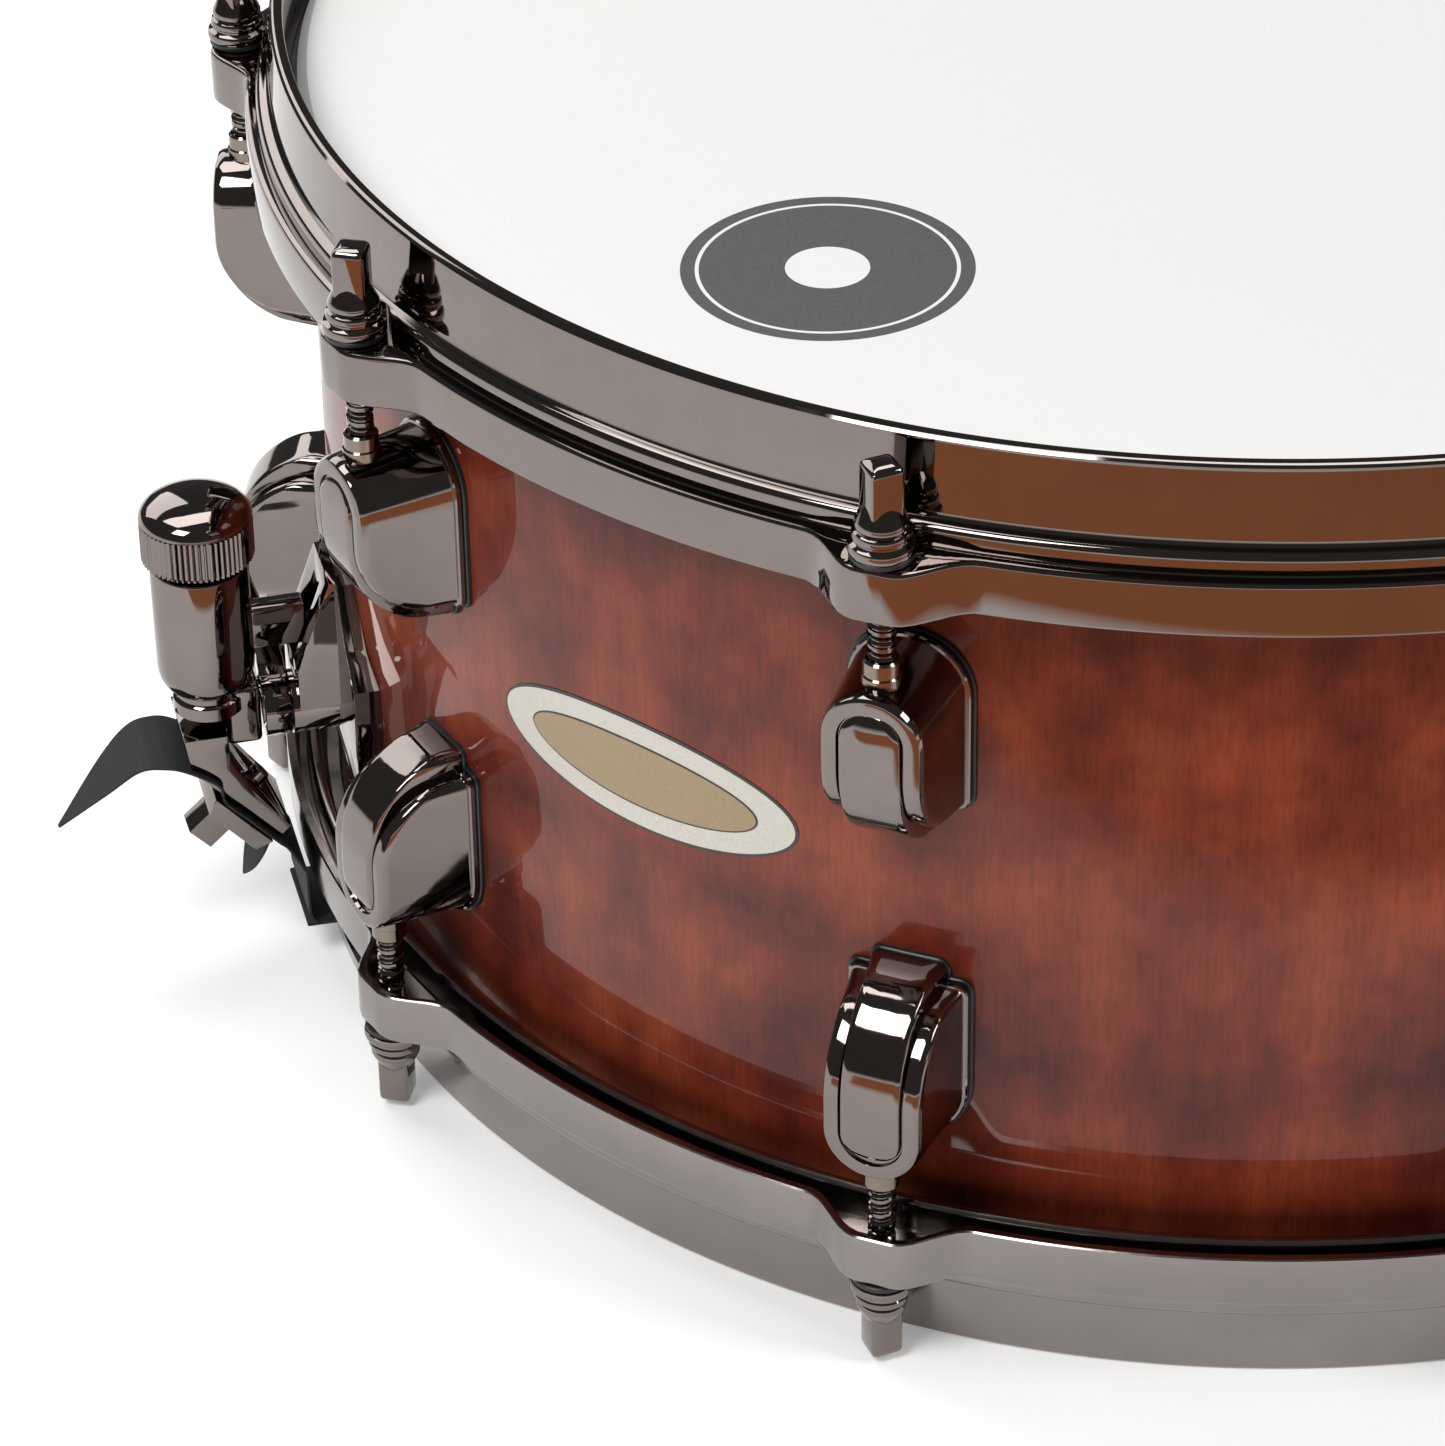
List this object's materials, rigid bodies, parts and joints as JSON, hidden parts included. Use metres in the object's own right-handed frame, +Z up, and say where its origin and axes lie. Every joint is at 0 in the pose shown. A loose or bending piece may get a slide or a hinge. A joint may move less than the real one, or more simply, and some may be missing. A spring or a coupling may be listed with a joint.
{
  "type": "snare drum",
  "caption": "Cylindrical wood-shell snare drum with cast hoops, separate arched lugs, tension rods, strainer and snare wires.",
  "frame": {"origin": "On the drum's own axis, level with the lower hoop's standing edge, so the floor is z = 0.", "axes": "+Z up along the drum's axis, -X towards the snare strainer, -Y towards the first pair of lugs."},
  "size_m": [0.4327, 0.3976, 0.1891],
  "materials": {
    "stained_wood": "gloss lacquer over a red-brown stain, grain upright",
    "black_nickel": "polished dark nickel plate",
    "head_film": "smooth white drumhead film",
    "flesh_hoop": "plain rolled metal",
    "wire_steel": "bright coiled wire",
    "strap": "matt black woven strap"
  },
  "bodies": {
    "bottom_hoop": {"bottom_hoop": "black_nickel"},
    "drum_shell": {"shell": "stained_wood", "air_vent": "black_nickel", "batter_head_film": "head_film", "batter_head_ring": "flesh_hoop", "snare_head_film": "head_film", "snare_head_ring": "flesh_hoop", "lug_top_01": "black_nickel", "lug_top_02": "black_nickel", "lug_top_03": "black_nickel", "lug_top_04": "black_nickel", "lug_top_05": "black_nickel", "lug_top_06": "black_nickel", "lug_top_07": "black_nickel", "lug_top_08": "black_nickel", "lug_top_09": "black_nickel", "lug_top_10": "black_nickel", "lug_bottom_01": "black_nickel", "lug_bottom_02": "black_nickel", "lug_bottom_03": "black_nickel", "lug_bottom_04": "black_nickel", "lug_bottom_05": "black_nickel", "lug_bottom_06": "black_nickel", "lug_bottom_07": "black_nickel", "lug_bottom_08": "black_nickel", "lug_bottom_09": "black_nickel", "lug_bottom_10": "black_nickel", "strainer_base": "black_nickel", "butt_base": "black_nickel", "butt_jaw": "black_nickel", "snare_wires": "wire_steel", "strap_strainer": "strap", "strap_butt": "strap"},
    "top_hoop": {"top_hoop": "black_nickel"},
    "top_rod_01": {"tension_rod_top_01": "black_nickel"},
    "top_rod_02": {"tension_rod_top_02": "black_nickel"},
    "top_rod_03": {"tension_rod_top_03": "black_nickel"},
    "top_rod_04": {"tension_rod_top_04": "black_nickel"},
    "top_rod_05": {"tension_rod_top_05": "black_nickel"},
    "top_rod_06": {"tension_rod_top_06": "black_nickel"},
    "top_rod_07": {"tension_rod_top_07": "black_nickel"},
    "top_rod_08": {"tension_rod_top_08": "black_nickel"},
    "top_rod_09": {"tension_rod_top_09": "black_nickel"},
    "top_rod_10": {"tension_rod_top_10": "black_nickel"},
    "bottom_rod_01": {"tension_rod_bottom_01": "black_nickel"},
    "bottom_rod_02": {"tension_rod_bottom_02": "black_nickel"},
    "bottom_rod_03": {"tension_rod_bottom_03": "black_nickel"},
    "bottom_rod_04": {"tension_rod_bottom_04": "black_nickel"},
    "bottom_rod_05": {"tension_rod_bottom_05": "black_nickel"},
    "bottom_rod_06": {"tension_rod_bottom_06": "black_nickel"},
    "bottom_rod_07": {"tension_rod_bottom_07": "black_nickel"},
    "bottom_rod_08": {"tension_rod_bottom_08": "black_nickel"},
    "bottom_rod_09": {"tension_rod_bottom_09": "black_nickel"},
    "bottom_rod_10": {"tension_rod_bottom_10": "black_nickel"},
    "strainer_lever": {"strainer_lever": "black_nickel"},
    "strainer_carriage": {"strainer_carriage": "black_nickel"},
    "tension_knob": {"tension_knob": "black_nickel"},
    "strap_arm": {"strap_arm": "black_nickel", "strap_jaw": "black_nickel", "strap_bolt": "black_nickel"}
  },
  "joints": [
    {"name": "bottom_tension", "type": "slide", "parent": "bottom_hoop", "child": "drum_shell", "axis": [0, 0, 1], "range_m": [0, 0.006]},
    {"name": "top_tension", "type": "slide", "parent": "drum_shell", "child": "top_hoop", "axis": [0, 0, 1], "range_m": [0, 0.006]},
    {"name": "top_rod_turn_01", "type": "hinge", "parent": "top_hoop", "child": "top_rod_01", "pos_m": [0, -0.1922, 0.16], "axis": [0, 0, 1], "range_deg": [0, 2040.94]},
    {"name": "top_rod_turn_02", "type": "hinge", "parent": "top_hoop", "child": "top_rod_02", "pos_m": [0.11297, -0.15549, 0.16], "axis": [0, 0, 1], "range_deg": [0, 2040.94]},
    {"name": "top_rod_turn_03", "type": "hinge", "parent": "top_hoop", "child": "top_rod_03", "pos_m": [0.18279, -0.05939, 0.16], "axis": [0, 0, 1], "range_deg": [0, 2040.94]},
    {"name": "top_rod_turn_04", "type": "hinge", "parent": "top_hoop", "child": "top_rod_04", "pos_m": [0.18279, 0.05939, 0.16], "axis": [0, 0, 1], "range_deg": [0, 2040.94]},
    {"name": "top_rod_turn_05", "type": "hinge", "parent": "top_hoop", "child": "top_rod_05", "pos_m": [0.11297, 0.15549, 0.16], "axis": [0, 0, 1], "range_deg": [0, 2040.94]},
    {"name": "top_rod_turn_06", "type": "hinge", "parent": "top_hoop", "child": "top_rod_06", "pos_m": [0, 0.1922, 0.16], "axis": [0, 0, 1], "range_deg": [0, 2040.94]},
    {"name": "top_rod_turn_07", "type": "hinge", "parent": "top_hoop", "child": "top_rod_07", "pos_m": [-0.11297, 0.15549, 0.16], "axis": [0, 0, 1], "range_deg": [0, 2040.94]},
    {"name": "top_rod_turn_08", "type": "hinge", "parent": "top_hoop", "child": "top_rod_08", "pos_m": [-0.18279, 0.05939, 0.16], "axis": [0, 0, 1], "range_deg": [0, 2040.94]},
    {"name": "top_rod_turn_09", "type": "hinge", "parent": "top_hoop", "child": "top_rod_09", "pos_m": [-0.18279, -0.05939, 0.16], "axis": [0, 0, 1], "range_deg": [0, 2040.94]},
    {"name": "top_rod_turn_10", "type": "hinge", "parent": "top_hoop", "child": "top_rod_10", "pos_m": [-0.11297, -0.15549, 0.16], "axis": [0, 0, 1], "range_deg": [0, 2040.94]},
    {"name": "bottom_rod_turn_01", "type": "hinge", "parent": "bottom_hoop", "child": "bottom_rod_01", "pos_m": [0, -0.1922, 0.03], "axis": [0, 0, -1], "range_deg": [0, 2040.94]},
    {"name": "bottom_rod_turn_02", "type": "hinge", "parent": "bottom_hoop", "child": "bottom_rod_02", "pos_m": [0.11297, -0.15549, 0.03], "axis": [0, 0, -1], "range_deg": [0, 2040.94]},
    {"name": "bottom_rod_turn_03", "type": "hinge", "parent": "bottom_hoop", "child": "bottom_rod_03", "pos_m": [0.18279, -0.05939, 0.03], "axis": [0, 0, -1], "range_deg": [0, 2040.94]},
    {"name": "bottom_rod_turn_04", "type": "hinge", "parent": "bottom_hoop", "child": "bottom_rod_04", "pos_m": [0.18279, 0.05939, 0.03], "axis": [0, 0, -1], "range_deg": [0, 2040.94]},
    {"name": "bottom_rod_turn_05", "type": "hinge", "parent": "bottom_hoop", "child": "bottom_rod_05", "pos_m": [0.11297, 0.15549, 0.03], "axis": [0, 0, -1], "range_deg": [0, 2040.94]},
    {"name": "bottom_rod_turn_06", "type": "hinge", "parent": "bottom_hoop", "child": "bottom_rod_06", "pos_m": [0, 0.1922, 0.03], "axis": [0, 0, -1], "range_deg": [0, 2040.94]},
    {"name": "bottom_rod_turn_07", "type": "hinge", "parent": "bottom_hoop", "child": "bottom_rod_07", "pos_m": [-0.11297, 0.15549, 0.03], "axis": [0, 0, -1], "range_deg": [0, 2040.94]},
    {"name": "bottom_rod_turn_08", "type": "hinge", "parent": "bottom_hoop", "child": "bottom_rod_08", "pos_m": [-0.18279, 0.05939, 0.03], "axis": [0, 0, -1], "range_deg": [0, 2040.94]},
    {"name": "bottom_rod_turn_09", "type": "hinge", "parent": "bottom_hoop", "child": "bottom_rod_09", "pos_m": [-0.18279, -0.05939, 0.03], "axis": [0, 0, -1], "range_deg": [0, 2040.94]},
    {"name": "bottom_rod_turn_10", "type": "hinge", "parent": "bottom_hoop", "child": "bottom_rod_10", "pos_m": [-0.11297, -0.15549, 0.03], "axis": [0, 0, -1], "range_deg": [0, 2040.94]},
    {"name": "lever_throw", "type": "hinge", "parent": "drum_shell", "child": "strainer_lever", "pos_m": [-0.19, 0, 0.0555], "axis": [-1, 0, 0], "range_deg": [0, 90]},
    {"name": "carriage_drop", "type": "slide", "parent": "drum_shell", "child": "strainer_carriage", "axis": [0, 0, 1], "range_m": [-0.007, 0], "deforming": ["strap_strainer"]},
    {"name": "knob_turn", "type": "hinge", "parent": "strainer_carriage", "child": "tension_knob", "pos_m": [-0.206, 0, 0.095], "axis": [0, 0, 1], "range_deg": [-720, 720]},
    {"name": "strap_pull", "type": "slide", "parent": "strainer_carriage", "child": "strap_arm", "axis": [0, 0, 1], "range_m": [-0.002, 0.002]}
  ],
  "couplings": [
    {"joint": "top_rod_turn_01", "follows": "top_tension", "rad_per_m": 5936.9},
    {"joint": "top_rod_turn_02", "follows": "top_tension", "rad_per_m": 5936.9},
    {"joint": "top_rod_turn_03", "follows": "top_tension", "rad_per_m": 5936.9},
    {"joint": "top_rod_turn_04", "follows": "top_tension", "rad_per_m": 5936.9},
    {"joint": "top_rod_turn_05", "follows": "top_tension", "rad_per_m": 5936.9},
    {"joint": "top_rod_turn_06", "follows": "top_tension", "rad_per_m": 5936.9},
    {"joint": "top_rod_turn_07", "follows": "top_tension", "rad_per_m": 5936.9},
    {"joint": "top_rod_turn_08", "follows": "top_tension", "rad_per_m": 5936.9},
    {"joint": "top_rod_turn_09", "follows": "top_tension", "rad_per_m": 5936.9},
    {"joint": "top_rod_turn_10", "follows": "top_tension", "rad_per_m": 5936.9},
    {"joint": "bottom_rod_turn_01", "follows": "bottom_tension", "rad_per_m": 5936.9},
    {"joint": "bottom_rod_turn_02", "follows": "bottom_tension", "rad_per_m": 5936.9},
    {"joint": "bottom_rod_turn_03", "follows": "bottom_tension", "rad_per_m": 5936.9},
    {"joint": "bottom_rod_turn_04", "follows": "bottom_tension", "rad_per_m": 5936.9},
    {"joint": "bottom_rod_turn_05", "follows": "bottom_tension", "rad_per_m": 5936.9},
    {"joint": "bottom_rod_turn_06", "follows": "bottom_tension", "rad_per_m": 5936.9},
    {"joint": "bottom_rod_turn_07", "follows": "bottom_tension", "rad_per_m": 5936.9},
    {"joint": "bottom_rod_turn_08", "follows": "bottom_tension", "rad_per_m": 5936.9},
    {"joint": "bottom_rod_turn_09", "follows": "bottom_tension", "rad_per_m": 5936.9},
    {"joint": "bottom_rod_turn_10", "follows": "bottom_tension", "rad_per_m": 5936.9},
    {"joint": "lever_throw", "follows": "carriage_drop", "rad_per_m": -224.4},
    {"joint": "knob_turn", "follows": "strap_pull", "rad_per_m": -6283.2}
  ]
}
